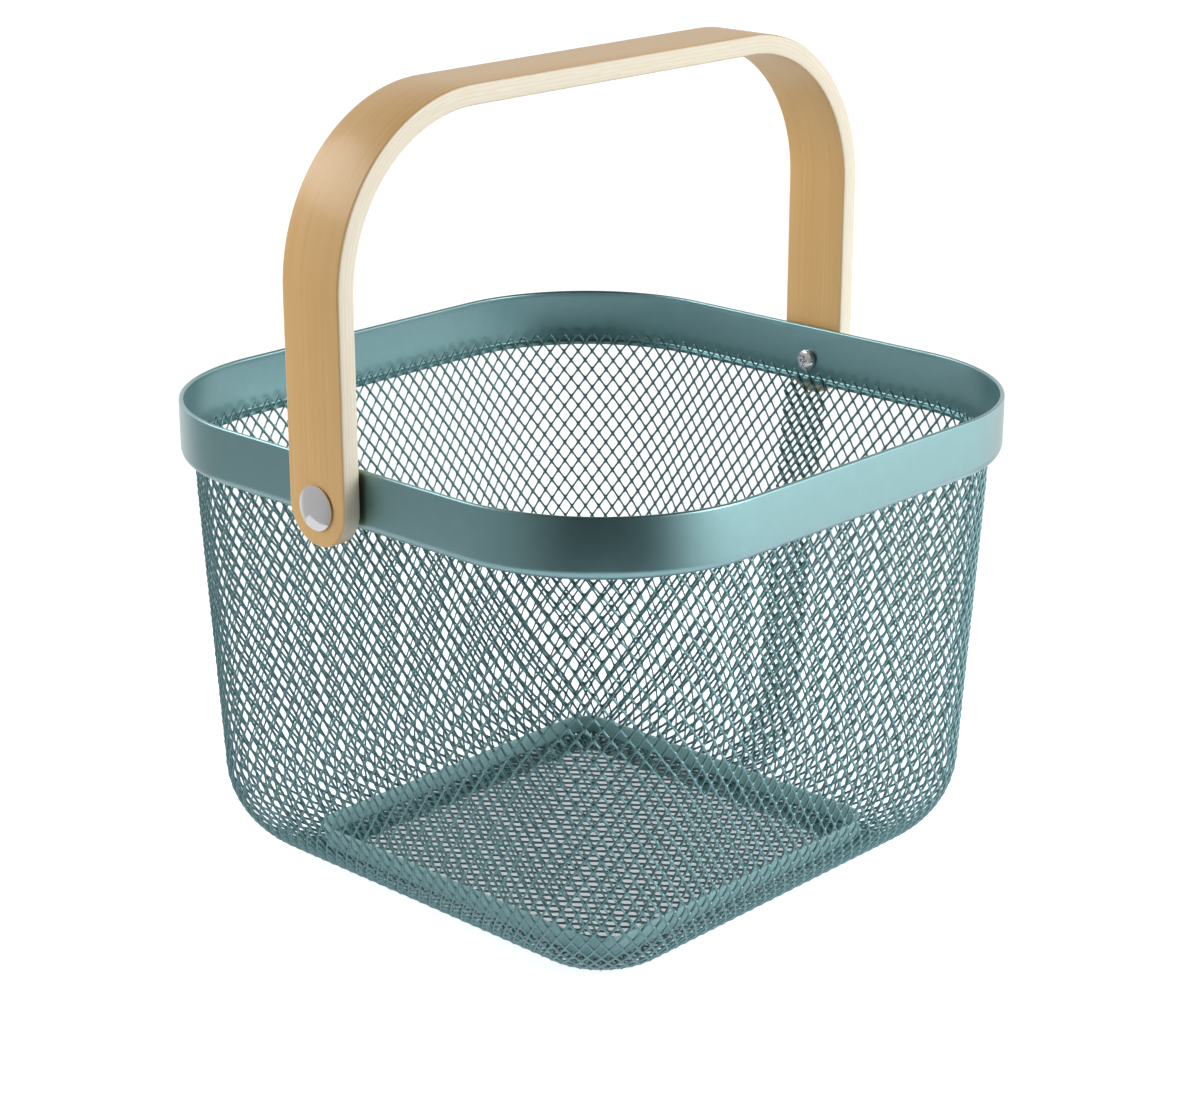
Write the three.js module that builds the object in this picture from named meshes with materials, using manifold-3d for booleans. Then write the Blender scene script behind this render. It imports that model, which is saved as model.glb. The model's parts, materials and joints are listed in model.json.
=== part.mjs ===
// Wire produce basket: a tapered square basket of expanded steel mesh with a steel rim band,
// a base ring and a swinging bent-wood handle on two sleeve-nut pivots.
// Millimetres, +Z up. The origin is the centre of the underside. The handle turns about X.
import * as THREE from 'three';
import { ParametricGeometry } from 'three/addons/geometries/ParametricGeometry.js';
import { mergeVertices } from 'three/addons/utils/BufferGeometryUtils.js';
import Module from 'manifold-3d';

const wasm = await Module();
wasm.setup();

// Driving dimensions
const BASKET_HEIGHT = 180;
const RIM_HALF = 125;            // half the width across the rim band
const RIM_CORNER = 67;           // plan radius of the rim's corners
const BAND_HEIGHT = 21.8;
const SHEET = 1.2;               // steel sheet of the band and the base ring
const CURL_RADIUS = 4;           // quarter turn that brings the band's lower edge in
const LIP_WIDTH = 1.8;           // rounded bead along the band's upper edge
const LIP_DROP = 2.6;            // from the top of the bead to where it meets the sheet

const MESH_THICKNESS = 1.6;      // expanded steel mesh, over its strands
const MESH_OVERLAP = 5;          // mesh that stands up inside the band
const WALL_TOP_HALF = 120.6;
const WALL_NECK_HALF = 119.9;    // where the flare under the band ends
const NECK_DROP = 12;
const WALL_FOOT_HALF = 109;      // where the straight wall meets the bottom curve
const WALL_TOP_CORNER = 63;
const WALL_FOOT_CORNER = 37;
const BOTTOM_RADIUS = 38.6;
const CORNER_CLOSE = 0.75;       // plan radius lost for each mm that the bottom curve turns in
const FLANGE_HALF = 64;          // inner edge of the wall mesh under the floor
const FLANGE_CORNER = 8;

const RING_HALF = 76;
const RING_CORNER = 12;
const RING_HEIGHT = 7.5;
const RING_FOOT = 2.3;           // height of the ring's lower edge
const FLOOR_THICKNESS = 1.4;
const FLOOR_UNDERSIDE = 2.3;

const PIVOT_HEIGHT = 166.3;
const HANDLE_WIDTH = 27.4;
const HANDLE_THICKNESS = 7.2;
const HANDLE_RISE = 133.9;       // pivot to the top of the handle
const HANDLE_CORNER = 62.6;      // outer radius of the two bends
const GAP = 0.3;                 // running and assembly clearance
const WASHER_THICKNESS = 0.6;
const WASHER_RADIUS = 7;
const BARREL_RADIUS = 3.4;
const NUT_HEAD_RADIUS = 7.8;
const NUT_HEAD_HEIGHT = 2.2;
const NUT_HEAD_EDGE = 0.4;       // upright edge below the dome
const SCREW_RADIUS = 2;
const SCREW_HEAD_RADIUS = 4.1;
const SCREW_HEAD_HEIGHT = 2.4;
const SCREW_HEAD_EDGE = 0.8;
const SCREW_LENGTH = 7.5;
const RECESS_LENGTH = 4.4;       // the two slots of the cross recess
const RECESS_WIDTH = 0.9;
const RECESS_DEPTH = 1.2;

// Stack along the pivot axis, as distances from the basket's centre
const BAND_INSIDE = RIM_HALF - SHEET;
const WASHER_INSIDE = RIM_HALF + GAP;
const HANDLE_INSIDE = WASHER_INSIDE + WASHER_THICKNESS + GAP;
const HANDLE_OUTSIDE = HANDLE_INSIDE + HANDLE_THICKNESS;
const HOLE_RADIUS = BARREL_RADIUS + GAP;

const CORNER_STEPS = 10;
const CURL_STEPS = 4;
const LIP_STEPS = 6;
const BEND_STEPS = 9;
const ROUND_STEPS = 28;
const WOOD_STEPS = 18;
const DOME_STEPS = 4;

const steel = (name) => new THREE.MeshStandardMaterial({
  name, color: 0x6fa3a3, roughness: 0.45, metalness: 0.2,
});
const birch = new THREE.MeshStandardMaterial({ color: 0xc9a56c, roughness: 0.5, metalness: 0 });
const chrome = new THREE.MeshStandardMaterial({ color: 0xb9b9bd, roughness: 0.2, metalness: 1 });
const nylon = new THREE.MeshStandardMaterial({ color: 0x2b2b2b, roughness: 0.7, metalness: 0 });

// Solids are joined and cut as manifolds
function toSolid(geometry) {
  const bare = geometry.clone();
  bare.deleteAttribute('normal');
  bare.deleteAttribute('uv');
  const merged = mergeVertices(bare, 1e-4);
  return new wasm.Manifold(new wasm.Mesh({
    numProp: 3,
    vertProperties: new Float32Array(merged.attributes.position.array),
    triVerts: new Uint32Array(merged.index.array),
  }));
}

function toGeometry(solid) {
  const mesh = solid.getMesh();
  const geometry = new THREE.BufferGeometry();
  geometry.setAttribute('position', new THREE.BufferAttribute(mesh.vertProperties, 3));
  geometry.setIndex(new THREE.BufferAttribute(mesh.triVerts, 1));
  return geometry;
}

// A closed hoop: each profile point is a rounded square { half, corner, z }. The profile is a
// closed loop that rises on the outside and falls on the inside.
function hoop(profile) {
  const perCorner = CORNER_STEPS + 1;
  const around = 4 * perCorner;
  const surface = (u, v, target) => {
    const i = Math.round(u * around) % around;
    const { half, corner, z } = profile[Math.round(v * profile.length) % profile.length];
    const quarter = Math.floor(i / perCorner);
    const angle = (quarter + (i % perCorner) / CORNER_STEPS) * Math.PI / 2;
    const mid = (quarter + 0.5) * Math.PI / 2;
    const centre = half - corner;
    target.set(
      Math.sign(Math.cos(mid)) * centre + corner * Math.cos(angle),
      Math.sign(Math.sin(mid)) * centre + corner * Math.sin(angle),
      z,
    );
  };
  const geometry = new ParametricGeometry(surface, around, profile.length);
  geometry.deleteAttribute('normal');
  geometry.deleteAttribute('uv');
  return mergeVertices(geometry, 1e-4);
}

// A rounded-square outline as a Shape, for flat plates
function roundedSquare(half, corner) {
  const shape = new THREE.Shape();
  const centre = half - corner;
  shape.moveTo(half, -centre);
  shape.lineTo(half, centre);
  shape.absarc(centre, centre, corner, 0, Math.PI / 2);
  shape.absarc(-centre, centre, corner, Math.PI / 2, Math.PI);
  shape.absarc(-centre, -centre, corner, Math.PI, Math.PI * 1.5);
  shape.absarc(centre, -centre, corner, Math.PI * 1.5, Math.PI * 2);
  return shape;
}

// A cylinder that lies along X from one distance to another
function crossCylinder(radius, from, to, steps = ROUND_STEPS) {
  const geometry = new THREE.CylinderGeometry(radius, radius, to - from, steps);
  geometry.rotateZ(Math.PI / 2);
  geometry.translate((from + to) / 2, 0, 0);
  return geometry;
}

// A turned piece about X, at pivot height, from [radius, distance from the centre] points
function turned(points) {
  const profile = points.map(([radius, along]) => new THREE.Vector2(radius, along));
  const geometry = new THREE.LatheGeometry(profile, ROUND_STEPS);
  geometry.rotateZ(-Math.PI / 2);
  geometry.translate(0, 0, PIVOT_HEIGHT);
  geometry.deleteAttribute('normal');
  geometry.deleteAttribute('uv');
  return toGeometry(toSolid(geometry));
}

// Points [radius, distance from the centre] of a dome, from its edge to its crown on the axis
function dome(radius, edge, crown) {
  const points = [];
  for (let k = 0; k < DOME_STEPS; k += 1) {
    const angle = (k / DOME_STEPS) * Math.PI / 2;
    points.push([radius * Math.cos(angle), edge + (crown - edge) * Math.sin(angle)]);
  }
  return [...points, [0, crown]];
}

function pivotHoles() {
  const through = crossCylinder(HOLE_RADIUS, -HANDLE_OUTSIDE - 5, HANDLE_OUTSIDE + 5);
  through.translate(0, 0, PIVOT_HEIGHT);
  return toSolid(through);
}

// Rim band: flat outside, a bead above, the lower edge curled in over the mesh
function rimBand() {
  const top = BASKET_HEIGHT;
  const foot = BASKET_HEIGHT - BAND_HEIGHT;
  const at = (depth, z) => ({ half: RIM_HALF - depth, corner: RIM_CORNER - depth, z });
  const arc = (centreDepth, centreZ, radius, start, end, steps) => {
    const points = [];
    for (let k = 0; k <= steps; k += 1) {
      const angle = start + ((end - start) * k) / steps;
      points.push(at(centreDepth - radius * Math.cos(angle), centreZ + radius * Math.sin(angle)));
    }
    return points;
  };
  const bead = LIP_WIDTH / 2;
  const curlCentre = foot + CURL_RADIUS;
  const profile = [
    ...arc(CURL_RADIUS, curlCentre, CURL_RADIUS, -Math.PI / 2, 0, CURL_STEPS),
    ...arc(bead, top - bead, bead, 0, Math.PI, LIP_STEPS),
    at(SHEET, top - LIP_DROP),
    ...arc(CURL_RADIUS, curlCentre, CURL_RADIUS - SHEET, 0, -Math.PI / 2, CURL_STEPS),
  ];
  return toGeometry(toSolid(hoop(profile)).subtract(pivotHoles()));
}

// Wall mesh as a closed skin: a neck under the band, a tapering wall, a bottom curve and a flange
function wallMesh() {
  const foot = BASKET_HEIGHT - BAND_HEIGHT;
  const outer = [];
  const inner = [];
  const bend = (radius) => {
    const points = [];
    for (let k = 0; k <= BEND_STEPS; k += 1) {
      const angle = (k / BEND_STEPS) * Math.PI / 2;
      points.push({
        half: WALL_FOOT_HALF - BOTTOM_RADIUS + radius * Math.cos(angle),
        corner: WALL_FOOT_CORNER - (BOTTOM_RADIUS - radius)
          - CORNER_CLOSE * radius * (1 - Math.cos(angle)),
        z: BOTTOM_RADIUS - radius * Math.sin(angle),
      });
    }
    return points;
  };
  const neck = (depth) => [
    { half: WALL_TOP_HALF - depth, corner: WALL_TOP_CORNER - depth, z: foot + MESH_OVERLAP },
    { half: WALL_TOP_HALF - depth, corner: WALL_TOP_CORNER - depth, z: foot - 2 },
    { half: WALL_NECK_HALF - depth, corner: WALL_TOP_CORNER - 2 - depth, z: foot - NECK_DROP },
  ];
  outer.push(...neck(0), ...bend(BOTTOM_RADIUS));
  inner.push(...neck(MESH_THICKNESS), ...bend(BOTTOM_RADIUS - MESH_THICKNESS));
  const flange = (z) => ({ half: FLANGE_HALF, corner: FLANGE_CORNER, z });
  return hoop([flange(0), ...outer.reverse(), ...inner, flange(MESH_THICKNESS)]);
}

function floorMesh() {
  const half = RING_HALF - SHEET - GAP;
  const geometry = new THREE.ExtrudeGeometry(
    roundedSquare(half, RING_CORNER - SHEET - GAP),
    { depth: FLOOR_THICKNESS, bevelEnabled: false, curveSegments: CORNER_STEPS },
  );
  geometry.translate(0, 0, FLOOR_UNDERSIDE);
  return toGeometry(toSolid(geometry));
}

function baseRing() {
  const at = (depth, z) => ({ half: RING_HALF - depth, corner: RING_CORNER - depth, z });
  return hoop([
    at(0, RING_FOOT),
    at(0, RING_FOOT + RING_HEIGHT),
    at(SHEET, RING_FOOT + RING_HEIGHT),
    at(SHEET, RING_FOOT),
  ]);
}

// Handle: a bent strip, cut to a semicircle about each pivot, with the pivot bores
function handleOutline() {
  const low = -HANDLE_WIDTH;
  const shape = new THREE.Shape();
  const innerRise = HANDLE_RISE - HANDLE_THICKNESS;
  const innerCorner = HANDLE_CORNER - HANDLE_THICKNESS;
  const centreX = HANDLE_OUTSIDE - HANDLE_CORNER;
  const centreZ = HANDLE_RISE - HANDLE_CORNER;
  shape.moveTo(HANDLE_INSIDE, low);
  shape.lineTo(HANDLE_OUTSIDE, low);
  shape.absarc(centreX, centreZ, HANDLE_CORNER, 0, Math.PI / 2);
  shape.absarc(-centreX, centreZ, HANDLE_CORNER, Math.PI / 2, Math.PI);
  shape.lineTo(-HANDLE_OUTSIDE, low);
  shape.lineTo(-HANDLE_INSIDE, low);
  shape.absarc(-centreX, innerRise - innerCorner, innerCorner, Math.PI, Math.PI / 2, true);
  shape.absarc(centreX, innerRise - innerCorner, innerCorner, Math.PI / 2, 0, true);
  return shape;
}

function handle() {
  const strip = new THREE.ExtrudeGeometry(handleOutline(), {
    depth: HANDLE_WIDTH, bevelEnabled: false, curveSegments: WOOD_STEPS,
  });
  strip.rotateX(Math.PI / 2);
  strip.translate(0, HANDLE_WIDTH / 2, 0);
  const reach = HANDLE_OUTSIDE + 5;
  const ends = crossCylinder(HANDLE_WIDTH / 2, -reach, reach, 2 * WOOD_STEPS);
  const legs = new THREE.BoxGeometry(2 * reach, HANDLE_WIDTH + 2, HANDLE_RISE + 5);
  legs.translate(0, 0, (HANDLE_RISE + 5) / 2);
  const side = toSolid(ends).add(toSolid(legs));
  const bent = toSolid(strip).intersect(side).translate([0, 0, PIVOT_HEIGHT]);
  return toGeometry(bent.subtract(pivotHoles()));
}

// Sleeve nut: domed head outside the handle, a barrel through handle and band, a blind bore
function sleeveNut() {
  const seat = HANDLE_OUTSIDE + GAP;
  const barrelEnd = BAND_INSIDE + GAP;
  const boreEnd = BAND_INSIDE - GAP + SCREW_LENGTH + 2 * GAP;
  const bore = SCREW_RADIUS + GAP + 0.05;
  return turned([
    [0, boreEnd],
    [bore, boreEnd],
    [bore, barrelEnd],
    [BARREL_RADIUS, barrelEnd],
    [BARREL_RADIUS, seat],
    [NUT_HEAD_RADIUS, seat],
    ...dome(NUT_HEAD_RADIUS, seat + NUT_HEAD_EDGE, seat + NUT_HEAD_HEIGHT),
  ]);
}

// Screw: a pan head with a cross recess inside the band, its shank in the sleeve nut's bore
function screw() {
  const seat = BAND_INSIDE - GAP;
  const face = seat - SCREW_HEAD_HEIGHT;
  const body = turned([
    ...dome(SCREW_HEAD_RADIUS, seat - SCREW_HEAD_EDGE, face).reverse(),
    [SCREW_HEAD_RADIUS, seat],
    [SCREW_RADIUS, seat],
    [SCREW_RADIUS, seat + SCREW_LENGTH],
    [0, seat + SCREW_LENGTH],
  ]);
  const slot = new THREE.BoxGeometry(2 * RECESS_DEPTH, RECESS_LENGTH, RECESS_WIDTH);
  slot.translate(face, 0, PIVOT_HEIGHT);
  const crossSlot = new THREE.BoxGeometry(2 * RECESS_DEPTH, RECESS_WIDTH, RECESS_LENGTH);
  crossSlot.translate(face, 0, PIVOT_HEIGHT);
  return toGeometry(toSolid(body).subtract(toSolid(slot).add(toSolid(crossSlot))));
}

function spacerWasher() {
  const outside = WASHER_INSIDE + WASHER_THICKNESS;
  return turned([
    [HOLE_RADIUS, WASHER_INSIDE],
    [WASHER_RADIUS, WASHER_INSIDE],
    [WASHER_RADIUS, outside],
    [HOLE_RADIUS, outside],
    [HOLE_RADIUS, WASHER_INSIDE],
  ]);
}

function named(name, geometry, material) {
  const mesh = new THREE.Mesh(geometry, material);
  mesh.name = name;
  return mesh;
}

// One pivot's hardware, made for the +X side; the other side is the same set turned half round
function pivotSet(side) {
  const group = new THREE.Group();
  group.add(
    named(`sleeve_nut_${side}`, sleeveNut(), chrome.clone()),
    named(`screw_${side}`, screw(), chrome.clone()),
    named(`spacer_washer_${side}`, spacerWasher(), nylon.clone()),
  );
  return group;
}

const basket = new THREE.Group();
basket.add(
  named('rim_band', rimBand(), steel('rim paint')),
  named('wall_mesh', wallMesh(), steel('wall paint')),
  named('floor_mesh', floorMesh(), steel('floor paint')),
  named('base_ring', baseRing(), steel('ring paint')),
  named('handle', handle(), birch),
);
const right = pivotSet('right');
const left = pivotSet('left');
left.rotation.z = Math.PI;
basket.add(right, left);

export default basket;
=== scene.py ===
"""Looks of a wire produce basket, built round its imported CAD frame. Metres, +Z up.

The basket stands on z = 0, centred on the Z axis. Its handle turns about X, so the two pivots are
on the -X side (left) and the +X side (right). Every size that the frame holds is read from it.
"""
import json
import math

import bmesh
import bpy
import numpy as np
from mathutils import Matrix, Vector


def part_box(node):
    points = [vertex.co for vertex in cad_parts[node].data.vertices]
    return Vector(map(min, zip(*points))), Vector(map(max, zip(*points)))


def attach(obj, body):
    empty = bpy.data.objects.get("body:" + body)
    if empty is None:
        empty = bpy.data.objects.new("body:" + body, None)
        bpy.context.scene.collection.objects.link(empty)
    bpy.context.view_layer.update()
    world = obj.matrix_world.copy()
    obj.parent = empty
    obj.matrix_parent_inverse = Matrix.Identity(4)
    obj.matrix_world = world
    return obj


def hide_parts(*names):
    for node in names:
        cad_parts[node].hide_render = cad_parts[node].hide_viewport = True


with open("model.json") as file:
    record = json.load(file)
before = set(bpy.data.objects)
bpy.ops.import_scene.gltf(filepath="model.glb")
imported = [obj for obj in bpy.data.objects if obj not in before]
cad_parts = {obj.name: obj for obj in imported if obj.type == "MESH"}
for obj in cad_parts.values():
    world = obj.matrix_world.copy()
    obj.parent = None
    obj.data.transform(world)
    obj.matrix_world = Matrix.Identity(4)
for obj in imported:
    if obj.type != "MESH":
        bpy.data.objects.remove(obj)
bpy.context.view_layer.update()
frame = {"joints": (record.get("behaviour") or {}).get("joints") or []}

MM = 0.001
SAME_PLACE = 1e-7                # points closer than this are one point
CREASE = 40                      # degrees an edge turns before it is shaded as crisp
TURNED_CREASE = 35               # the same, on turned pieces


def high(node, axis):
    """The CAD node's highest coordinate along an axis."""
    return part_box(node)[1]["xyz".index(axis)]


def low(node, axis):
    """The CAD node's lowest coordinate along an axis."""
    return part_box(node)[0]["xyz".index(axis)]


# Rim band. Its corner, like the wall's, the floor's and the ring's, is a radius seen from above.
RIM_HALF = high("rim_band", "x")
RIM_TOP = high("rim_band", "z")
RIM_FOOT = low("rim_band", "z")
RIM_CORNER = 67 * MM
SHEET = 1.2 * MM                 # thickness of the band's and the base ring's steel
CURL_RADIUS = 4 * MM             # of the lower edge, outside
FOLD_RADIUS = 1 * MM             # inside the curl
LIP_WIDTH = 1.8 * MM
LIP_DROP = 2.6 * MM
LIP_TAPER = 0.2 * MM             # how much narrower the lip is halfway down

# Wall: the middle of its skin, from the top edge to the flange under the floor
SKIN = 1.6 * MM
WALL_TOP = high("wall_mesh", "z")
WALL_TOP_HALF = high("wall_mesh", "x") - SKIN / 2
WALL_TOP_CORNER = 63 * MM - SKIN / 2
SHOULDER_Z = RIM_FOOT - 2 * MM   # the wall is straight down to here
NECK_Z = RIM_FOOT - 12 * MM
NECK_HALF = WALL_TOP_HALF - 0.7 * MM
NECK_CORNER = WALL_TOP_CORNER - 2 * MM
FOOT_HALF = 109 * MM - SKIN / 2
FOOT_CORNER = 37 * MM - SKIN / 2
FOOT_Z = 38.6 * MM
CORNER_CLOSE = 0.75              # plan radius lost for each metre that the bottom curve turns in
FLANGE_HALF = 64 * MM
FLANGE_CORNER = 8 * MM

# Expanded mesh
WALL_COLUMNS = 146               # diamonds round the wall
STRAND_LENGTH = (4.8 * MM, 4.98 * MM)    # knot to knot, at the top and at the foot of the wall
STRAND_WIDTH = 0.71 * MM
STRAND_THICKNESS = 0.7 * MM
KNOT_THICKNESS = 1.2 * MM
KNOT_WIDTH = 1.15 * MM
KNOT_HEIGHT = 1.75 * MM
EDGE_LEVEL = 0.2 * MM            # half the height of a strand's upright side
TILT = 0.22 * MM                 # how far the press leans the strands: their faces turn a little upward
FLOOR_COLUMN = 5.4 * MM          # width of a diamond of the floor's mesh
FLOOR_ROW = 3.8 * MM             # half the length of one
FLOOR_CORNER = 10 * MM
FLOOR_MARGIN = 1.5 * MM          # least distance in from a rounded corner to the middle of a diamond
CROWDING = 2.4                   # how strongly the columns bunch up at the corners of the bottom curve
SEAM_OFFSET = -1.0 * MM          # the overlapping end lies inside the wall
SEAM_SHIFT = (0.27, 0.6)         # and its diamonds are out of step, in columns and half rows

# Base ring
RING_CORNER = 12 * MM
RING_EDGE = 0.35 * MM            # rounding along the strip's edges

# Handle
HANDLE_HALF_WIDTH = high("handle", "y")
HANDLE_OUTSIDE = high("handle", "x")
HANDLE_TOP = high("handle", "z")
HANDLE_THICKNESS = 7.2 * MM
HANDLE_CORNER = 62.6 * MM        # outer radius of the two bends
HANDLE_EDGE = 1.0 * MM           # rounding along the strip's edges
BORE_RADIUS = 3.7 * MM           # holes through the handle and the band
PIVOT_Z = frame["joints"][0]["pos_m"][2]
PLIES = 5
PLY_LINE = 0.09                  # share of a ply that its glue line spreads over

# Pivot hardware, as distances from the basket's centre along X
GAP = 0.3 * MM                   # clearance between parts
NUT_SEAT = HANDLE_OUTSIDE + GAP
NUT_APEX = high("sleeve_nut_right", "x")
NUT_RADIUS = high("sleeve_nut_right", "y")
NUT_EDGE = 0.5 * MM              # upright edge below the dome
NUT_BEVEL = 0.2 * MM
BARREL_END = low("sleeve_nut_right", "x")
BARREL_RADIUS = 3.4 * MM
SCREW_FACE = low("screw_right", "x")
SCREW_SEAT = RIM_HALF - SHEET - GAP
SCREW_RADIUS = high("screw_right", "y")
SHANK_RADIUS = 2 * MM
SHANK_END = high("screw_right", "x")
SHANK_BEVEL = 0.3 * MM
SCREW_EDGE = 0.9 * MM            # upright edge below the crown
RECESS_MOUTH = (-0.5 * MM, 2.5 * MM, 0.6 * MM)     # depth into the head, half length, half width
RECESS_BOTTOM = (1.5 * MM, 1.2 * MM, 0.3 * MM)
NUT_BORE = SHANK_RADIUS + GAP
NUT_BORE_END = SHANK_END + 0.4 * MM
DRILL_END = HANDLE_OUTSIDE + 5 * MM
WASHER_INSIDE = low("spacer_washer_right", "x")
WASHER_OUTSIDE = high("spacer_washer_right", "x")
WASHER_RADIUS = high("spacer_washer_right", "y")
WASHER_BEVEL = 0.12 * MM

# Camera
CAMERA_AZIMUTH = -46.82
CAMERA_ELEVATION = 20.15
CAMERA_DISTANCE = 1.0403
CAMERA_TARGET = Vector((0, 0, 0.096))
CAMERA_SENSOR = 36               # millimetres, as is the lens
CAMERA_LENS = 85.31
CAMERA_SHIFT = (-0.0027, 0.0437)

# Floor and studio light. RIGHT and BACK are level, and lie as the camera sees them.
RIGHT = Vector((math.cos(math.radians(CAMERA_AZIMUTH)), math.sin(math.radians(CAMERA_AZIMUTH)), 0))
BACK = Vector((-RIGHT.y, RIGHT.x, 0))
FLOOR_REACH = 0.3
FLOOR_GLOW_AND_PAINTED_SHADOW = (                   # distance out from the base ring, and the floor's own light there, lowered inside the ring and along it as painted shadow of the basket
    (-14 * MM, 0.62), (-10 * MM, 0.12), (1 * MM, 0.12), (3.5 * MM, 0.8),
)
FLOOR_BOUNCE = (0.25, 0.75)      # share of it that lights the basket, at the far left and the far right
DARK = 0.03                      # radiance of the surround where no panel is
WHITE = 1.1                      # radiance of the surround as the camera sees it
PANELS = (                       # direction, cosine where a panel starts and where it is full, level
    (RIGHT, 0.45, 1.0, 1.22),
    (BACK, 0.4, 0.95, 0.8),
    (-RIGHT, 0.2, 0.9, 0.37),
)
LIGHT_AIM = Vector((0, 0, 0.12))
LIGHTS = (                       # name, direction, distance, size, watts, whether reflections show it
    ("right_light", (0.35, -0.9, 0.35), 1.7, (0.8, 0.8), 13, True),
    ("back_light", (-0.42, 0.67, 0.61), 1.58, (1.1, 0.6), 8, True),
    ("left_fill", (-0.84, 0.52, 0.16), 1.5, (0.6, 0.5), 5.8, False),
)


# ---------------------------------------------------------------- shared mesh work

def join_points(mesh):
    """Joins the points that coincide, and turns every face outward."""
    work = bmesh.new()
    work.from_mesh(mesh)
    bmesh.ops.remove_doubles(work, verts=work.verts, dist=SAME_PLACE)
    bmesh.ops.recalc_face_normals(work, faces=work.faces)
    work.to_mesh(mesh)
    work.free()


def smooth(mesh, crease):
    """Smooth shading, in which edges that turn more than crease degrees stay crisp."""
    mesh.shade_smooth()
    mesh.set_sharp_from_angle(angle=math.radians(crease))


def add_mesh(name, points, faces, crease=180, join=False):
    """A mesh piece with smooth shading."""
    mesh = bpy.data.meshes.new(name)
    mesh.from_pydata(points, [], faces)
    if join:
        join_points(mesh)
    mesh.validate()
    smooth(mesh, crease)
    piece = bpy.data.objects.new(name, mesh)
    bpy.context.scene.collection.objects.link(piece)
    return piece


def grid_faces(rings, around, closed):
    """Quads between rings of points. The last ring joins the first if closed."""
    faces = []
    for ring in range(rings if closed else rings - 1):
        here, ahead = ring * around, (ring + 1) % rings * around
        for i in range(around):
            j = (i + 1) % around
            faces.append((here + i, ahead + i, ahead + j, here + j))
    return faces


def cut(piece, crease, *cutters):
    """Takes each cutter's shape out of the piece, and removes the cutter."""
    for cutter in cutters:
        step = piece.modifiers.new("cut", "BOOLEAN")
        step.operation = "DIFFERENCE"
        step.solver = "EXACT"
        step.object = cutter
    whole = piece.data
    shaped = piece.evaluated_get(bpy.context.evaluated_depsgraph_get())
    piece.data = bpy.data.meshes.new_from_object(shaped)
    piece.modifiers.clear()
    bpy.data.meshes.remove(whole)
    for cutter in cutters:
        bpy.data.objects.remove(cutter)
    smooth(piece.data, crease)


def finish_piece(piece, body, nodes, material):
    """Gives a piece its body and its material, and hides the CAD nodes that it stands for."""
    piece.data.materials.clear()
    piece.data.materials.append(material)
    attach(piece, body)
    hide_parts(*nodes)


def arc(centre, radius, start, end, steps):
    """Points on an arc in a plane. Angles are in degrees."""
    return [(centre[0] + radius * math.cos(a), centre[1] + radius * math.sin(a))
            for a in np.radians(np.linspace(start, end, steps + 1))]


def hoop(name, half, corner, section, corner_steps=28, side_steps=8):
    """A closed section swept round a rounded square. The section holds (depth, z) points and runs
    up the outside and down the inside."""
    depth, height = np.array(section).T
    middle = (half - corner) * math.sqrt(2)
    centres, outward = [], []
    for quarter in range(4):
        start = quarter * math.pi / 2
        centre = middle * np.array([math.cos(start + math.pi / 4), math.sin(start + math.pi / 4)])
        following = np.array([-centre[1], centre[0]])
        for angle in np.linspace(start, start + math.pi / 2, corner_steps + 1):
            centres.append(centre)
            outward.append((math.cos(angle), math.sin(angle)))
        for share in np.linspace(0, 1, side_steps + 1)[1:-1]:
            centres.append(centre + share * (following - centre))
            outward.append(outward[-1])
    centres, outward = np.array(centres), np.array(outward)
    plan = centres[:, None] + outward[:, None] * (corner - depth)[None, :, None]
    points = np.dstack([plan, np.broadcast_to(height, plan.shape[:2])])
    return add_mesh(name, points.reshape(-1, 3), grid_faces(len(centres), len(section), True), CREASE)


def turned(name, profile, side, steps=64):
    """A piece turned about the pivot axis. The profile holds (radius, distance from the basket's
    centre) points and starts and ends on the axis, or closes on itself."""
    angles = np.linspace(0, 2 * math.pi, steps, endpoint=False)
    points = [(side * along, radius * math.cos(a), PIVOT_Z + radius * math.sin(a))
              for radius, along in profile for a in angles]
    return add_mesh(name, points, grid_faces(len(profile), steps, True), TURNED_CREASE, join=True)


def pivot_drill():
    """A cylinder along the pivot axis that passes through both sides of the handle."""
    reach = DRILL_END
    return turned("drill", [(0, -reach), (BORE_RADIUS, -reach), (BORE_RADIUS, reach), (0, reach)], 1)


# ---------------------------------------------------------------- expanded mesh

def rounded_square(turn, half, corner, open_reach):
    """Plan points at a share of the way round a rounded square, from the corner at +X, -Y. Where the
    outline is shorter than open_reach says, its columns bunch up towards the corners."""
    side = np.floor(4 * turn)
    share = 2 * (4 * turn - side) - 1
    straight = half - corner
    reach = straight + corner * math.pi / 4
    wide = np.maximum(open_reach, reach)
    along = wide * np.abs(share) - (wide - reach) * np.abs(share) ** CROWDING
    angle = np.maximum(along - straight, 0) / corner
    x = straight + corner * np.cos(angle)
    y = np.sign(share) * np.where(angle > 0, straight + corner * np.sin(angle), along)
    cosine, sine = np.cos(side * math.pi / 2), np.sin(side * math.pi / 2)
    return cosine * x - sine * y, sine * x + cosine * y


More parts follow.
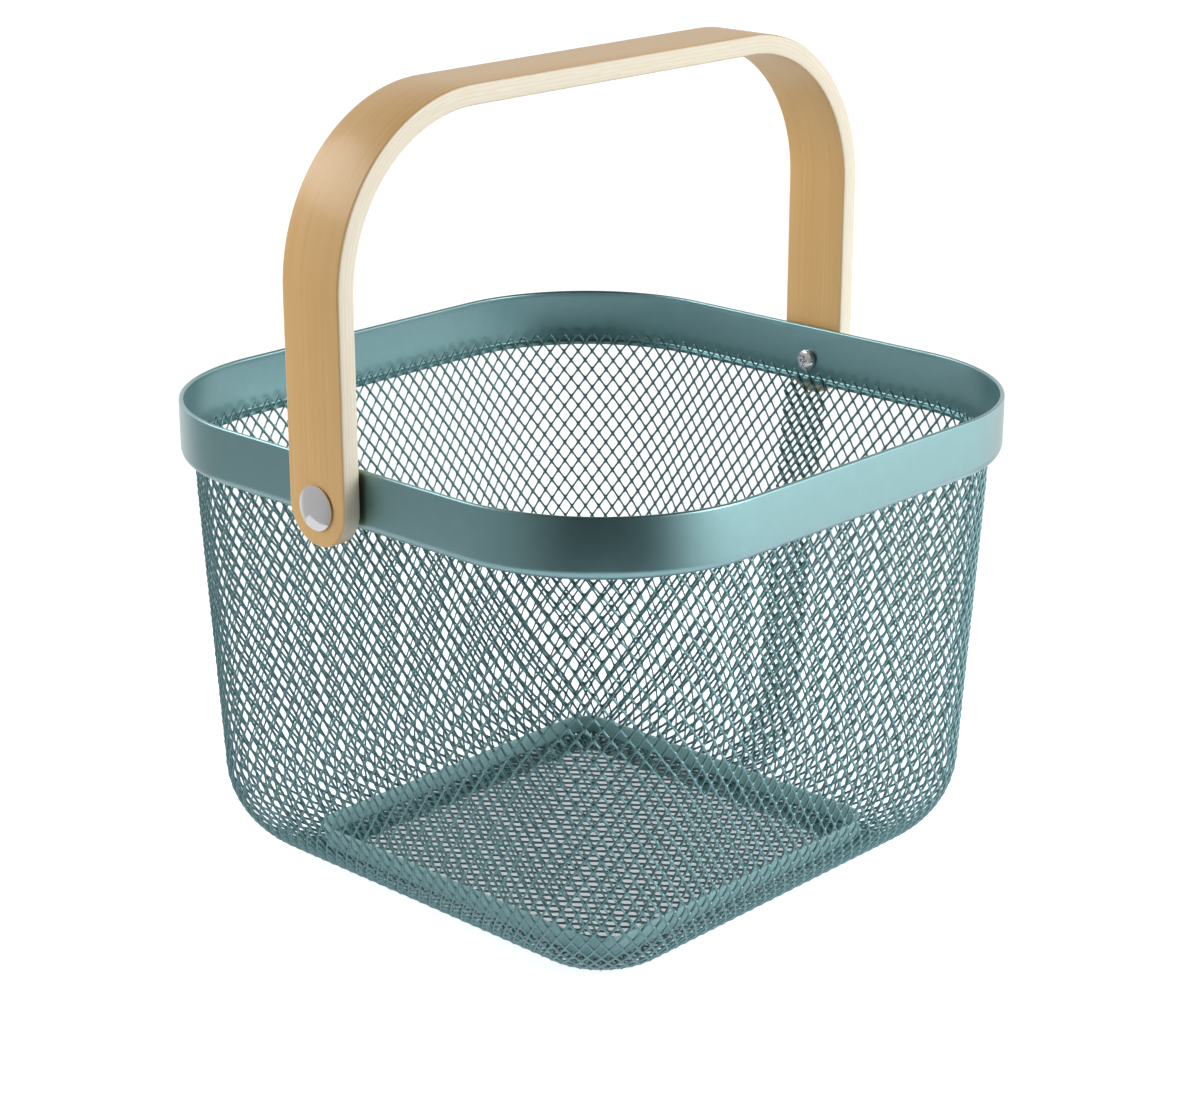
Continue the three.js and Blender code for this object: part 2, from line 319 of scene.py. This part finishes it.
def wall_path():
    """Arrays of path length, half, corner, z and open reach, down the middle of the wall's skin."""
    radius = FOOT_Z - SKIN / 2
    path = [
        (WALL_TOP_HALF, WALL_TOP_CORNER, WALL_TOP),
        (WALL_TOP_HALF, WALL_TOP_CORNER, SHOULDER_Z),
        (NECK_HALF, NECK_CORNER, NECK_Z),
    ]
    for angle in np.radians(np.linspace(0, 90, 46)):
        path.append((
            FOOT_HALF - radius * (1 - math.cos(angle)),
            FOOT_CORNER - CORNER_CLOSE * radius * (1 - math.cos(angle)),
            FOOT_Z - radius * math.sin(angle),
        ))
    path.append((FLANGE_HALF, FLANGE_CORNER, path[-1][2]))
    half, corner, z = np.array(path).T
    length = np.concatenate([[0], np.cumsum(np.hypot(np.diff(half), np.diff(z)))])
    reach = half - corner + corner * math.pi / 4
    open_reach = np.where(z < FOOT_Z, reach[np.argmax(z <= FOOT_Z)], reach)
    return length, half, corner, z, open_reach


WALL_PATH = wall_path()


def wall_rows():
    """Path lengths of the mesh's half rows. A strand keeps its length as the columns narrow."""
    length, _, _, z, open_reach = WALL_PATH
    foot = length[np.argmax(z <= FOOT_Z)]
    rows = [0]
    while rows[-1] < length[-1]:
        column = 8 * np.interp(rows[-1], length, open_reach) / WALL_COLUMNS
        strand = np.interp(rows[-1], [0, foot], STRAND_LENGTH)
        rows.append(rows[-1] + math.sqrt(strand ** 2 - (column / 2) ** 2))
    rows[-1] = length[-1]
    return np.array(rows)


WALL_ROWS = wall_rows()


def with_normals(surface):
    """Turns surface(column, row) into place(column, row, offset), which also moves along the
    normal."""
    def place(column, row, offset=0):
        step = 0.02              # of a column or a row
        across = surface(column + step, row) - surface(column - step, row)
        along = surface(column, row + step) - surface(column, row - step)
        normal = np.cross(across, along)
        normal /= np.linalg.norm(normal, axis=-1, keepdims=True)
        return surface(column, row) + normal * np.asarray(offset)[..., None]
    return place


def wall_surface(column, row):
    """Column 0 is the middle of the +X side. Columns run clockwise seen from above, rows down."""
    length, half, corner, z, open_reach = WALL_PATH
    down = np.interp(row, np.arange(len(WALL_ROWS)), WALL_ROWS)
    at = [np.interp(down, length, values) for values in (half, corner, open_reach)]
    x, y = rounded_square((1 / 8 - column / WALL_COLUMNS) % 1, *at)
    return np.stack([x, y, np.interp(down, length, z)], -1)


def floor_place(column, row, offset=0):
    """Mesh across the floor, its long diagonals along Y, held inside the base ring."""
    half = high("floor_mesh", "x") - STRAND_WIDTH / 2
    centre = half - FLOOR_CORNER
    middle = (high("floor_mesh", "z") + low("floor_mesh", "z")) / 2
    flat = np.stack([column * FLOOR_COLUMN, row * FLOOR_ROW], -1)
    past = np.maximum(np.abs(flat) - centre, 0)
    reach = np.maximum(np.linalg.norm(past, axis=-1, keepdims=True), FLOOR_CORNER)
    flat = np.sign(flat) * (np.minimum(np.abs(flat), centre) + past * FLOOR_CORNER / reach)
    height = np.broadcast_to(middle + np.asarray(offset), flat.shape[:-1])
    return np.concatenate([flat, height[..., None]], -1)


def diamonds(columns, rows):
    """Grid places of the diamonds' middles. Odd and even rows are half a column apart."""
    return np.array([(column + 0.5 * (row % 2), row) for row in rows for column in columns], float)


KNOTS = np.array([(0.5, 0), (0, 1), (-0.5, 0), (0, -1)])     # from a diamond's middle
STRAND_STOPS = (0, 0.3, 0.7)     # shares of the way along a strand
OUTLINE = np.concatenate([
    [start + (end - start) * stop for stop in STRAND_STOPS]
    for start, end in zip(KNOTS, np.roll(KNOTS, -1, 0))
])
GRID_STEPS = 20                  # every outline point is at a whole number of these steps of the grid
SMALLEST_HOLE = 0.2              # as a share of the outline
SHORTEST_SUM = 0.5               # where the border nearly doubles back, its points move out by less


def ahead(index):
    """Each point's next one round the outline."""
    return np.roll(index, -1, 1)


def hole_sizes(right, top, left, bottom):
    """How far out each point of each diamond's hole is, as a share of its outline."""
    half_wide = np.linalg.norm(right - left, axis=1) / 2
    half_tall = np.linalg.norm(top - bottom, axis=1) / 2
    side = 1 - STRAND_WIDTH / 2 * np.hypot(half_wide, half_tall) / (half_wide * half_tall)
    sizes = np.repeat(side[:, None], len(OUTLINE), 1)
    quarter, half = len(STRAND_STOPS), 2 * len(STRAND_STOPS)
    sizes[:, [0, half]] = (1 - KNOT_WIDTH / 2 / half_wide)[:, None]
    sizes[:, [quarter, quarter + half]] = (1 - KNOT_HEIGHT / 2 / half_tall)[:, None]
    return np.clip(sizes, SMALLEST_HOLE, 1)


def border_spread(middle, through, a, b):
    """Directions out from the sheet at the points of its border, whose edges run from a to b."""
    outward = np.cross(middle[b] - middle[a], through[a])
    outward /= np.linalg.norm(outward, axis=1, keepdims=True) + 1e-12
    spread = np.zeros_like(middle)
    np.add.at(spread, a, outward)
    np.add.at(spread, b, outward)
    return spread / np.maximum(np.linalg.norm(spread, axis=1, keepdims=True), SHORTEST_SUM)


def lattice(centres, place, wrap=None):
    """Points and quads of expanded mesh, and for each quad the number of its diamond. A diamond
    spans one column and two rows. Its outline runs along the middles of its strands, and its hole
    is a ring of as many points inside that. Strands have a front and a back ridge."""
    count, around = len(centres), len(OUTLINE)

    def at(grid, offset=0):
        return place(grid[..., 0], grid[..., 1], offset)

    sizes = hole_sizes(*(at(centres + knot) for knot in KNOTS))
    ridge_grid = centres[:, None] + OUTLINE
    hole_grid = centres[:, None] + OUTLINE * sizes[..., None]
    keys = np.round(ridge_grid * GRID_STEPS).astype(int)
    if wrap:
        keys[..., 0] %= wrap * GRID_STEPS
    _, first, ridge = np.unique(keys.reshape(-1, 2), axis=0, return_index=True, return_inverse=True)
    ridge = ridge.reshape(count, around)
    ridges = ridge_grid.reshape(-1, 2)[first]
    knotty = np.tile(np.arange(around) % len(STRAND_STOPS) == 0, count)[first]
    lift = np.where(knotty, KNOT_THICKNESS, STRAND_THICKNESS) / 2
    front, back = at(ridges, lift), at(ridges, -lift)
    middle = (front + back) / 2

    number = len(ridges)
    hole = 2 * number + np.arange(count * around).reshape(count, around)
    lean = -TILT * np.broadcast_to(OUTLINE[:, 1], hole.shape)
    blocks = [front, back, at(hole_grid, lean + EDGE_LEVEL).reshape(-1, 3),
              at(hole_grid, lean - EDGE_LEVEL).reshape(-1, 3)]
    behind = hole + count * around
    quads = [
        np.stack([ridge, ahead(ridge), ahead(hole), hole], -1),
        np.stack([hole, ahead(hole), ahead(behind), behind], -1),
        np.stack([behind, ahead(behind), ahead(ridge) + number, ridge + number], -1),
    ]
    owner = [np.repeat(np.arange(count), around)] * 3

    start, end = ridge.ravel(), ahead(ridge).ravel()
    border = ~np.isin(start * number + end, end * number + start)
    a, b = start[border], end[border]
    outer = middle + border_spread(middle, front - back, a, b) * STRAND_WIDTH / 2
    upright = (front - back) / (2 * lift[:, None])
    blocks += [outer + upright * EDGE_LEVEL, outer - upright * EDGE_LEVEL]
    over = 2 * number + 2 * count * around
    under = over + number
    quads += [
        np.stack([b, a, a + over, b + over], -1),
        np.stack([b + over, a + over, a + under, b + under], -1),
        np.stack([b + under, a + under, a + number, b + number], -1),
    ]
    owner += [np.repeat(np.arange(count), around)[border]] * 3
    return np.concatenate(blocks), np.concatenate([q.reshape(-1, 4) for q in quads]), np.concatenate(owner)


def mesh_piece(name, points, quads):
    """A piece from some of a lattice's quads."""
    used, faces = np.unique(quads, return_inverse=True)
    return add_mesh(name, points[used].tolist(), faces.reshape(-1, 4).tolist())


# ---------------------------------------------------------------- pieces

def rim_band(material):
    """Steel band with a rolled lip along the top and its lower edge curled in over the mesh."""
    bead = LIP_WIDTH / 2
    curl_centre = (CURL_RADIUS, RIM_FOOT + CURL_RADIUS)
    section = arc(curl_centre, CURL_RADIUS, 270, 180, 10)
    section += arc((bead, RIM_TOP - bead), bead, 180, 0, 10)
    section += [(LIP_WIDTH - LIP_TAPER, RIM_TOP - LIP_DROP / 2), (SHEET, RIM_TOP - LIP_DROP)]
    section += arc((SHEET + FOLD_RADIUS, RIM_FOOT + SHEET + FOLD_RADIUS), FOLD_RADIUS, 180, 270, 5)
    section.append((CURL_RADIUS, RIM_FOOT + SHEET))
    band = hoop("band_shell", RIM_HALF, RIM_CORNER, section)
    cut(band, CREASE, pivot_drill())
    finish_piece(band, "basket", ["rim_band"], material)


def base_ring(material):
    """Upright steel strip round the floor, its edges slightly rounded."""
    foot, top = low("base_ring", "z") + RING_EDGE, high("base_ring", "z") - RING_EDGE
    outside, inside = RING_EDGE, SHEET - RING_EDGE
    section = arc((outside, foot), RING_EDGE, 270, 180, 3) + arc((outside, top), RING_EDGE, 180, 90, 3)
    section += arc((inside, top), RING_EDGE, 90, 0, 3) + arc((inside, foot), RING_EDGE, 0, -90, 3)
    ring = hoop("ring_strip", high("base_ring", "x"), RING_CORNER, section)
    finish_piece(ring, "basket", ["base_ring"], material)


def wall(material):
    """The wall in four pieces, one to a side, that meet along strands, and the overlapping seam."""
    sides = 4
    place = with_normals(wall_surface)
    rows = range(1, len(WALL_ROWS) - 1)
    centres = diamonds(range(WALL_COLUMNS), rows)
    points, quads, owner = lattice(centres, place, WALL_COLUMNS)
    side = np.floor((centres[:, 0] % WALL_COLUMNS) / WALL_COLUMNS * sides).astype(int)
    for k in range(sides):
        piece = mesh_piece(f"wall_lattice_{k + 1}", points, quads[side[owner] == k])
        finish_piece(piece, "basket", ["wall_mesh"], material)

    def seam_place(column, row, offset=0):
        return place(column + SEAM_SHIFT[0], row + SEAM_SHIFT[1], np.asarray(offset) + SEAM_OFFSET)

    seam = mesh_piece("wall_seam", *lattice(diamonds((-1, 0, 1), rows[:-1]), seam_place)[:2])
    finish_piece(seam, "basket", ["wall_mesh"], material)


def floor_mesh(material):
    """Mesh sheet that fills the base ring."""
    reach = high("floor_mesh", "x")
    columns = math.ceil(reach / FLOOR_COLUMN)
    rows = math.ceil(reach / FLOOR_ROW)
    centres = diamonds(range(-columns, columns + 1), range(-rows, rows + 1))
    x, y = np.abs(centres * (FLOOR_COLUMN, FLOOR_ROW)).T
    inside = reach - FLOOR_CORNER
    past = np.hypot(np.maximum(x - inside, 0), np.maximum(y - inside, 0))
    centres = centres[past < FLOOR_CORNER - FLOOR_MARGIN]
    piece = mesh_piece("floor_lattice", *lattice(centres, floor_place)[:2])
    finish_piece(piece, "basket", ["floor_mesh"], material)


def handle_path():
    """Stations along the handle from the left end to the right: (x, z, direction of the outer
    face's normal as an angle in degrees, share of the width, rise of the rounded end)."""
    middle = HANDLE_OUTSIDE - HANDLE_THICKNESS / 2
    bend = HANDLE_CORNER - HANDLE_THICKNESS / 2
    bend_x, bend_z = HANDLE_OUTSIDE - HANDLE_CORNER, HANDLE_TOP - HANDLE_CORNER
    right = []
    for angle in np.radians(np.linspace(-90, 0, 19)):
        right.append((middle, PIVOT_Z, 0, math.cos(angle), math.sin(angle)))
    for z in np.linspace(PIVOT_Z, bend_z, 9)[1:-1]:
        right.append((middle, z, 0, 1, 0))
    for angle in np.linspace(0, 90, 31):
        turn = math.radians(angle)
        right.append((bend_x + bend * math.cos(turn), bend_z + bend * math.sin(turn), angle, 1, 0))
    for x in np.linspace(bend_x, 0, 7)[1:]:
        right.append((x, HANDLE_TOP - HANDLE_THICKNESS / 2, 90, 1, 0))
    left = [(-x, z, 180 - angle, share, rise) for x, z, angle, share, rise in right[-2::-1]]
    return right + left


def handle(material):
    """Bent laminated strip with rounded edges and a semicircle about each pivot. Each point keeps
    its place in the strip (along, across, through) for the wood."""
    layer = arc((-HANDLE_EDGE, -HANDLE_THICKNESS / 2 + HANDLE_EDGE), HANDLE_EDGE, -90, 0, 4)
    layer += arc((-HANDLE_EDGE, HANDLE_THICKNESS / 2 - HANDLE_EDGE), HANDLE_EDGE, 0, 90, 4)
    points, grain = [], []
    along, before = 0, None
    for x, z, angle, share, rise in handle_path():
        out_x, out_z = math.cos(math.radians(angle)), math.sin(math.radians(angle))
        end_lift = HANDLE_HALF_WIDTH * rise
        here = (x, z + end_lift)
        along += math.dist(here, before) if before else 0
        before = here
        for flank in (1, -1):
            for inset, through in layer[::flank]:
                wide = HANDLE_HALF_WIDTH + inset
                across = flank * wide * share
                points.append((x + through * out_x, across, z + through * out_z + wide * rise))
                grain.append((along, across, through))
    around = 2 * len(layer)
    rings = len(points) // around
    faces = grid_faces(rings, around, False)
    strip = add_mesh("handle_strip", points, faces)
    wood = strip.data.attributes.new("wood", "FLOAT_VECTOR", "POINT")
    wood.data.foreach_set("vector", np.array(grain, np.float32).ravel())
    join_points(strip.data)
    cut(strip, CREASE, pivot_drill())
    finish_piece(strip, "handle", ["handle"], material)


def sleeve_nut(side, suffix, material):
    """Low domed head outside the handle and a bored barrel through handle and band."""
    rise = NUT_APEX - NUT_SEAT - NUT_EDGE
    dome_radius = (NUT_RADIUS ** 2 + rise ** 2) / (2 * rise)
    spread = math.asin(NUT_RADIUS / dome_radius)
    dome = [(dome_radius * math.sin(a), NUT_APEX - dome_radius * (1 - math.cos(a)))
            for a in np.linspace(spread, 0, 14)]
    bore = [(0, NUT_BORE_END), (NUT_BORE, NUT_BORE_END), (NUT_BORE, BARREL_END)]
    barrel = [
        (BARREL_RADIUS - NUT_BEVEL, BARREL_END), (BARREL_RADIUS, BARREL_END + NUT_BEVEL),
        (BARREL_RADIUS, NUT_SEAT),
    ]
    head = [(NUT_RADIUS - NUT_BEVEL, NUT_SEAT), (NUT_RADIUS, NUT_SEAT + NUT_BEVEL)]
    nut = turned(f"nut_{suffix}", bore + barrel + head + dome, side)
    finish_piece(nut, "basket", [f"sleeve_nut_{suffix}"], material)


def cross_recess(side):
    """Two crossed slots, as blocks that narrow with depth."""
    blades = []
    for turn in (0, math.pi / 2):
        points = []
        for depth, long, wide in (RECESS_MOUTH, RECESS_BOTTOM):
            for u, v in ((long, wide), (-long, wide), (-long, -wide), (long, -wide)):
                y = u * math.cos(turn) - v * math.sin(turn)
                z = u * math.sin(turn) + v * math.cos(turn)
                points.append((side * (SCREW_FACE + depth), y, PIVOT_Z + z))
        faces = grid_faces(2, 4, False) + [(0, 1, 2, 3), (7, 6, 5, 4)]
        blades.append(add_mesh("blade", points, faces, join=True))
    return blades


def screw(side, suffix, material):
    """Pan-head machine screw with a cross recess."""
    crown_start = SCREW_SEAT - SCREW_EDGE
    head = [(SHANK_RADIUS, SCREW_SEAT), (SCREW_RADIUS, SCREW_SEAT), (SCREW_RADIUS, crown_start)]
    tall = crown_start - SCREW_FACE
    crown = [(SCREW_RADIUS * math.sin(a), SCREW_FACE + tall * (1 - math.cos(a)))
             for a in np.linspace(math.pi / 2, 0, 12)]
    shank = [
        (0, SHANK_END), (SHANK_RADIUS - SHANK_BEVEL, SHANK_END), (SHANK_RADIUS, SHANK_END - SHANK_BEVEL),
    ]
    body = turned(f"screw_head_{suffix}", shank + head + crown[1:], side)
    cut(body, TURNED_CREASE, *cross_recess(side))
    finish_piece(body, "basket", [f"screw_{suffix}"], material)


def washer(side, suffix, material):
    """Thin moulded spacer between the band and the handle."""
    profile = [
        (BORE_RADIUS, WASHER_INSIDE), (WASHER_RADIUS - WASHER_BEVEL, WASHER_INSIDE),
        (WASHER_RADIUS, WASHER_INSIDE + WASHER_BEVEL), (WASHER_RADIUS, WASHER_OUTSIDE - WASHER_BEVEL),
        (WASHER_RADIUS - WASHER_BEVEL, WASHER_OUTSIDE), (BORE_RADIUS, WASHER_OUTSIDE),
    ]
    spacer = turned(f"washer_{suffix}", profile, side)
    finish_piece(spacer, "basket", [f"spacer_washer_{suffix}"], material)


# ---------------------------------------------------------------- materials

class Shader:
    """A node material with a Principled surface."""

    def __init__(self, name, **values):
        self.material = bpy.data.materials.new(name)
        self.material.use_nodes = True
        self.tree = self.material.node_tree
        self.surface = self.tree.nodes["Principled BSDF"]
        for socket, value in values.items():
            self.surface.inputs[socket.replace("_", " ")].default_value = value

    def add(self, kind, properties=None, **inputs):
        """A node. An input is a value or another node's output socket. It goes by its name, or by
        its number as in _0."""
        made = self.tree.nodes.new("ShaderNode" + kind)
        for key, value in (properties or {}).items():
            setattr(made, key, value)
        for name, value in inputs.items():
            socket = made.inputs[int(name[1:])] if name[0] == "_" else made.inputs[name.replace("_", " ")]
            self.feed(socket, value)
        return made

    def feed(self, socket, value):
        """Links an output socket to an input, or sets the input's value."""
        if isinstance(value, bpy.types.NodeSocket):
            self.tree.links.new(value, socket)
        else:
            socket.default_value = value

    def noise(self, where, scale, detail=3.0, roughness=0.5):
        made = self.add("TexNoise", Vector=where, Scale=scale, Detail=detail, Roughness=roughness)
        return made.outputs["Fac"]

    def vector(self, operation, first, second=(0, 0, 0)):
        """A vector operation. Its result is a number for a length or a dot product."""
        made = self.add("VectorMath", {"operation": operation}, _0=first, _1=second)
        return made.outputs["Value" if operation in ("LENGTH", "DOT_PRODUCT") else "Vector"]

    def stretched(self, where, scale):
        """The coordinates, scaled along each axis."""
        return self.vector("MULTIPLY", where, scale)

    def ramp(self, value, stops):
        """Colours between stops of (place, colour)."""
        made = self.add("ValToRGB", Fac=value)
        bar = made.color_ramp
        while len(bar.elements) < len(stops):
            bar.elements.new(0.5)
        for element, (place, colour) in zip(bar.elements, stops):
            element.position = place
            element.color = (*colour, 1)
        return made.outputs["Color"]

    def fit(self, value, from_low, from_high, to_low, to_high):
        """The value, taken from one range to another and held within it."""
        made = self.add("MapRange", _0=value, _1=from_low, _2=from_high, _3=to_low, _4=to_high)
        return made.outputs[0]

    def mix(self, factor, first, second):
        """A blend of two colours. The node's colour sockets are its inputs 6 and 7 and its output 2."""
        made = self.add("Mix", {"data_type": "RGBA"}, _0=factor)
        self.feed(made.inputs[6], first)
        self.feed(made.inputs[7], second)
        return made.outputs[2]

    def math(self, operation, first, second=0.0):
        return self.add("Math", {"operation": operation}, _0=first, _1=second).outputs[0]

    def bump(self, height, strength, distance):
        made = self.add("Bump", Height=height, Strength=strength, Distance=distance)
        self.feed(self.surface.inputs["Normal"], made.outputs[0])

    def place(self):
        """The piece's own coordinates."""
        return self.add("TexCoord").outputs["Object"]


def powder_coat(name, colour, roughness, metallic, gloss):
    """Satin metallic powder coat with a fine orange peel and a little unevenness. The gloss is the
    weight of its clear layer."""
    shader = Shader(
        name, Metallic=metallic, Roughness=roughness, Coat_Weight=gloss, Coat_Roughness=0.3, Coat_IOR=1.7,
    )
    where = shader.place()
    uneven = shader.noise(where, 260.0, 4.0, 0.6)
    deep = tuple(0.97 * c for c in colour)
    pale = tuple(1.03 * c for c in colour)
    shader.feed(shader.surface.inputs["Base Color"], shader.ramp(uneven, [(0.3, deep), (0.7, pale)]))
    satin = shader.fit(shader.noise(where, 300.0, 2.0), 0.3, 0.7, roughness - 0.012, roughness + 0.012)
    shader.feed(shader.surface.inputs["Roughness"], satin)
    shader.bump(shader.noise(where, 900.0, 2.0), 0.2, 0.03 * MM)
    return shader.material


def birch():
    """Laminated birch under clear satin lacquer: fine grain on the faces, plies on the edges."""
    shader = Shader("birch", Coat_Weight=0.35, Coat_Roughness=0.22)
    strip = shader.add("Attribute", {"attribute_name": "wood"}).outputs["Vector"]
    grain = shader.noise(shader.stretched(strip, (14.0, 900.0, 60.0)), 1.0, 5.0, 0.6)
    figure = shader.noise(shader.stretched(strip, (6.0, 60.0, 10.0)), 1.0, 3.0)
    streaks = shader.math("ADD", shader.math("MULTIPLY", grain, 0.6), shader.math("MULTIPLY", figure, 0.4))
    face = shader.ramp(streaks, [
        (0.3, (0.82, 0.49, 0.18)), (0.5, (0.88, 0.545, 0.215)), (0.7, (0.93, 0.60, 0.255)),
    ])
    through = shader.add("SeparateXYZ", _0=strip).outputs["Z"]
    ply = shader.math("MULTIPLY", through, PLIES / HANDLE_THICKNESS)
    line = shader.math("PINGPONG", shader.math("ADD", ply, 0.5 * (PLIES % 2)), 0.5)
    pores = shader.noise(shader.stretched(strip, (120.0, 500.0, 2500.0)), 1.0, 4.0, 0.6)
    end = shader.ramp(pores, [(0.3, (0.90, 0.80, 0.60)), (0.7, (0.97, 0.91, 0.75))])
    edge = shader.mix(shader.fit(line, 0.0, PLY_LINE, 0.45, 0.0), end, (0.66, 0.50, 0.31, 1))
    flank = shader.add("SeparateXYZ", _0=shader.add("TexCoord").outputs["Normal"]).outputs["Y"]
    side = shader.fit(shader.math("ABSOLUTE", flank), 0.6, 0.8, 0.0, 1.0)
    shader.feed(shader.surface.inputs["Base Color"], shader.mix(side, face, edge))
    shader.feed(shader.surface.inputs["Roughness"], shader.fit(grain, 0.3, 0.7, 0.38, 0.5))
    shader.bump(grain, 0.3, 0.06 * MM)
    return shader.material


def nickel():
    """Bright nickel plate with fine turning marks and handling scratches."""
    shader = Shader("nickel", Base_Color=(0.88, 0.87, 0.87, 1), Metallic=0.75, Roughness=0.12)
    where = shader.place()
    turning = shader.noise(shader.stretched(where, (4000.0, 300.0, 300.0)), 1.0, 2.0)
    smear = shader.noise(where, 220.0, 3.0)
    shader.feed(shader.surface.inputs["Roughness"], shader.fit(smear, 0.3, 0.7, 0.07, 0.15))
    shader.bump(turning, 0.05, 0.02 * MM)
    return shader.material


def nylon():
    """Matt black moulded nylon."""
    shader = Shader("nylon", Base_Color=(0.02, 0.02, 0.021, 1), Roughness=0.6)
    shader.bump(shader.noise(shader.place(), 2500.0, 2.0), 0.3, 0.03 * MM)
    return shader.material


# ---------------------------------------------------------------- stage, lights and camera

def past_ring(shader):
    """How far each point of the floor is outside the base ring. Well inside the ring it is minus
    the radius of the ring's corners."""
    centre = high("base_ring", "x") - RING_CORNER
    past = shader.vector("SUBTRACT", shader.vector("ABSOLUTE", shader.place()), (centre, centre, 0))
    past = shader.vector("LENGTH", shader.vector("MAXIMUM", past, (0, 0, 0)))
    return shader.math("SUBTRACT", past, RING_CORNER)


def floor():
    """Plain pale floor whose own glow is lowered under the basket and along the base ring, as painted
    shadow. The white surround takes over beyond it.
    """
    reach = FLOOR_REACH
    corners = [(-reach, -reach, 0), (reach, -reach, 0), (reach, reach, 0), (-reach, reach, 0)]
    plane = add_mesh("studio_floor", corners, [(0, 1, 2, 3)])
    shader = Shader(
        "studio_floor", Base_Color=(0.9, 0.9, 0.93, 1), Roughness=0.9, Specular_IOR_Level=0.0,
        Emission_Color=(0.94, 0.95, 1, 1),
    )
    start, end = FLOOR_GLOW_AND_PAINTED_SHADOW[0][0], FLOOR_GLOW_AND_PAINTED_SHADOW[-1][0]
    stops = [((place - start) / (end - start), (glow_and_painted_shadow, glow_and_painted_shadow, glow_and_painted_shadow)) for place, glow_and_painted_shadow in FLOOR_GLOW_AND_PAINTED_SHADOW]
    # painted shadow: the floor's glow drops under the basket and in a dark band along the base ring
    glow_and_painted_shadow = shader.ramp(shader.fit(past_ring(shader), start, end, 0.0, 1.0), stops)
    aside = shader.vector("DOT_PRODUCT", shader.place(), RIGHT)
    bounce = shader.fit(aside, -reach, reach, *FLOOR_BOUNCE)
    share = shader.fit(shader.add("LightPath").outputs["Is Camera Ray"], 0.0, 1.0, bounce, 1.0)
    shader.feed(shader.surface.inputs["Emission Strength"], shader.math("MULTIPLY", glow_and_painted_shadow, share))
    plane.data.materials.append(shader.material)


def soft_light(name, towards, distance, size, power, shows):
    """A rectangular soft light, out along a direction and aimed at the basket."""
    lamp = bpy.data.lights.new(name, "AREA")
    lamp.shape = "RECTANGLE"
    lamp.size, lamp.size_y = size
    lamp.energy = power
    rig = bpy.data.objects.new(name, lamp)
    direction = Vector(towards).normalized()
    rig.location = LIGHT_AIM + direction * distance
    rig.rotation_mode = "QUATERNION"
    rig.rotation_quaternion = direction.to_track_quat("Z", "Y")
    rig.visible_glossy = shows
    bpy.context.scene.collection.objects.link(rig)


def surround():
    """A studio that is bright at the right and the back, dim at the left and dark at the front.
    The camera itself sees it as plain white."""
    world = bpy.data.worlds.new("studio")
    bpy.context.scene.world = world
    world.use_nodes = True
    nodes, links = world.node_tree.nodes, world.node_tree.links

    def node(kind, *inputs, **properties):
        made = nodes.new("ShaderNode" + kind)
        for key, value in properties.items():
            setattr(made, key, value)
        for socket, value in zip(made.inputs, inputs):
            if isinstance(value, bpy.types.NodeSocket):
                links.new(value, socket)
            else:
                socket.default_value = value
        return made

    direction = nodes.new("ShaderNodeTexCoord").outputs["Generated"]
    total = DARK
    for towards, start, full, level in PANELS:
        facing = node("VectorMath", direction, towards, operation="DOT_PRODUCT").outputs["Value"]
        share = node("MapRange", facing, start, full, 0.0, level, interpolation_type="SMOOTHSTEP")
        total = node("Math", total, share.outputs["Result"], operation="ADD").outputs[0]
    seen = nodes.new("ShaderNodeLightPath").outputs["Is Camera Ray"]
    strength = node("Mix", seen, data_type="FLOAT")
    links.new(total, strength.inputs[2])
    strength.inputs[3].default_value = WHITE
    links.new(strength.outputs[0], nodes["Background"].inputs["Strength"])
    nodes["Background"].inputs["Color"].default_value = (1, 1, 1, 1)


def studio():
    """The surround and the soft lights, with colours shown as they are."""
    surround()
    for light in LIGHTS:
        soft_light(*light)
    bpy.context.scene.view_settings.view_transform = "Standard"


def camera():
    """The camera looks along a fixed direction; the lens shift places the basket in the frame."""
    azimuth, elevation = math.radians(CAMERA_AZIMUTH), math.radians(CAMERA_ELEVATION)
    back = Vector((
        math.sin(azimuth) * math.cos(elevation),
        -math.cos(azimuth) * math.cos(elevation),
        math.sin(elevation),
    ))
    lens = bpy.data.cameras.new("camera")
    lens.sensor_width = CAMERA_SENSOR
    lens.lens = CAMERA_LENS
    lens.shift_x, lens.shift_y = CAMERA_SHIFT
    rig = bpy.data.objects.new("camera", lens)
    rig.location = CAMERA_TARGET + back * CAMERA_DISTANCE
    rig.rotation_mode = "QUATERNION"
    rig.rotation_quaternion = (-back).to_track_quat("-Z", "Y")
    bpy.context.scene.collection.objects.link(rig)
    bpy.context.scene.camera = rig


band_paint = powder_coat("band_paint", (0.215, 0.43, 0.45), roughness=0.36, metallic=0.93, gloss=1.0)
# Painted shade: the mesh's teal is the band's paint darkened, so that the strands read as shaded
mesh_paint = powder_coat("mesh_paint", (0.14, 0.295, 0.31), roughness=0.4, metallic=0.9, gloss=0.4)
ring_paint = powder_coat("ring_paint", (0.45, 0.72, 0.73), roughness=0.5, metallic=0.3, gloss=0.2)
rim_band(band_paint)
wall(mesh_paint)
floor_mesh(mesh_paint)
base_ring(ring_paint)
handle(birch())
plate, moulding = nickel(), nylon()
for side, suffix in ((-1, "left"), (1, "right")):
    sleeve_nut(side, suffix, plate)
    screw(side, suffix, plate)
    washer(side, suffix, moulding)

floor()
studio()
camera()
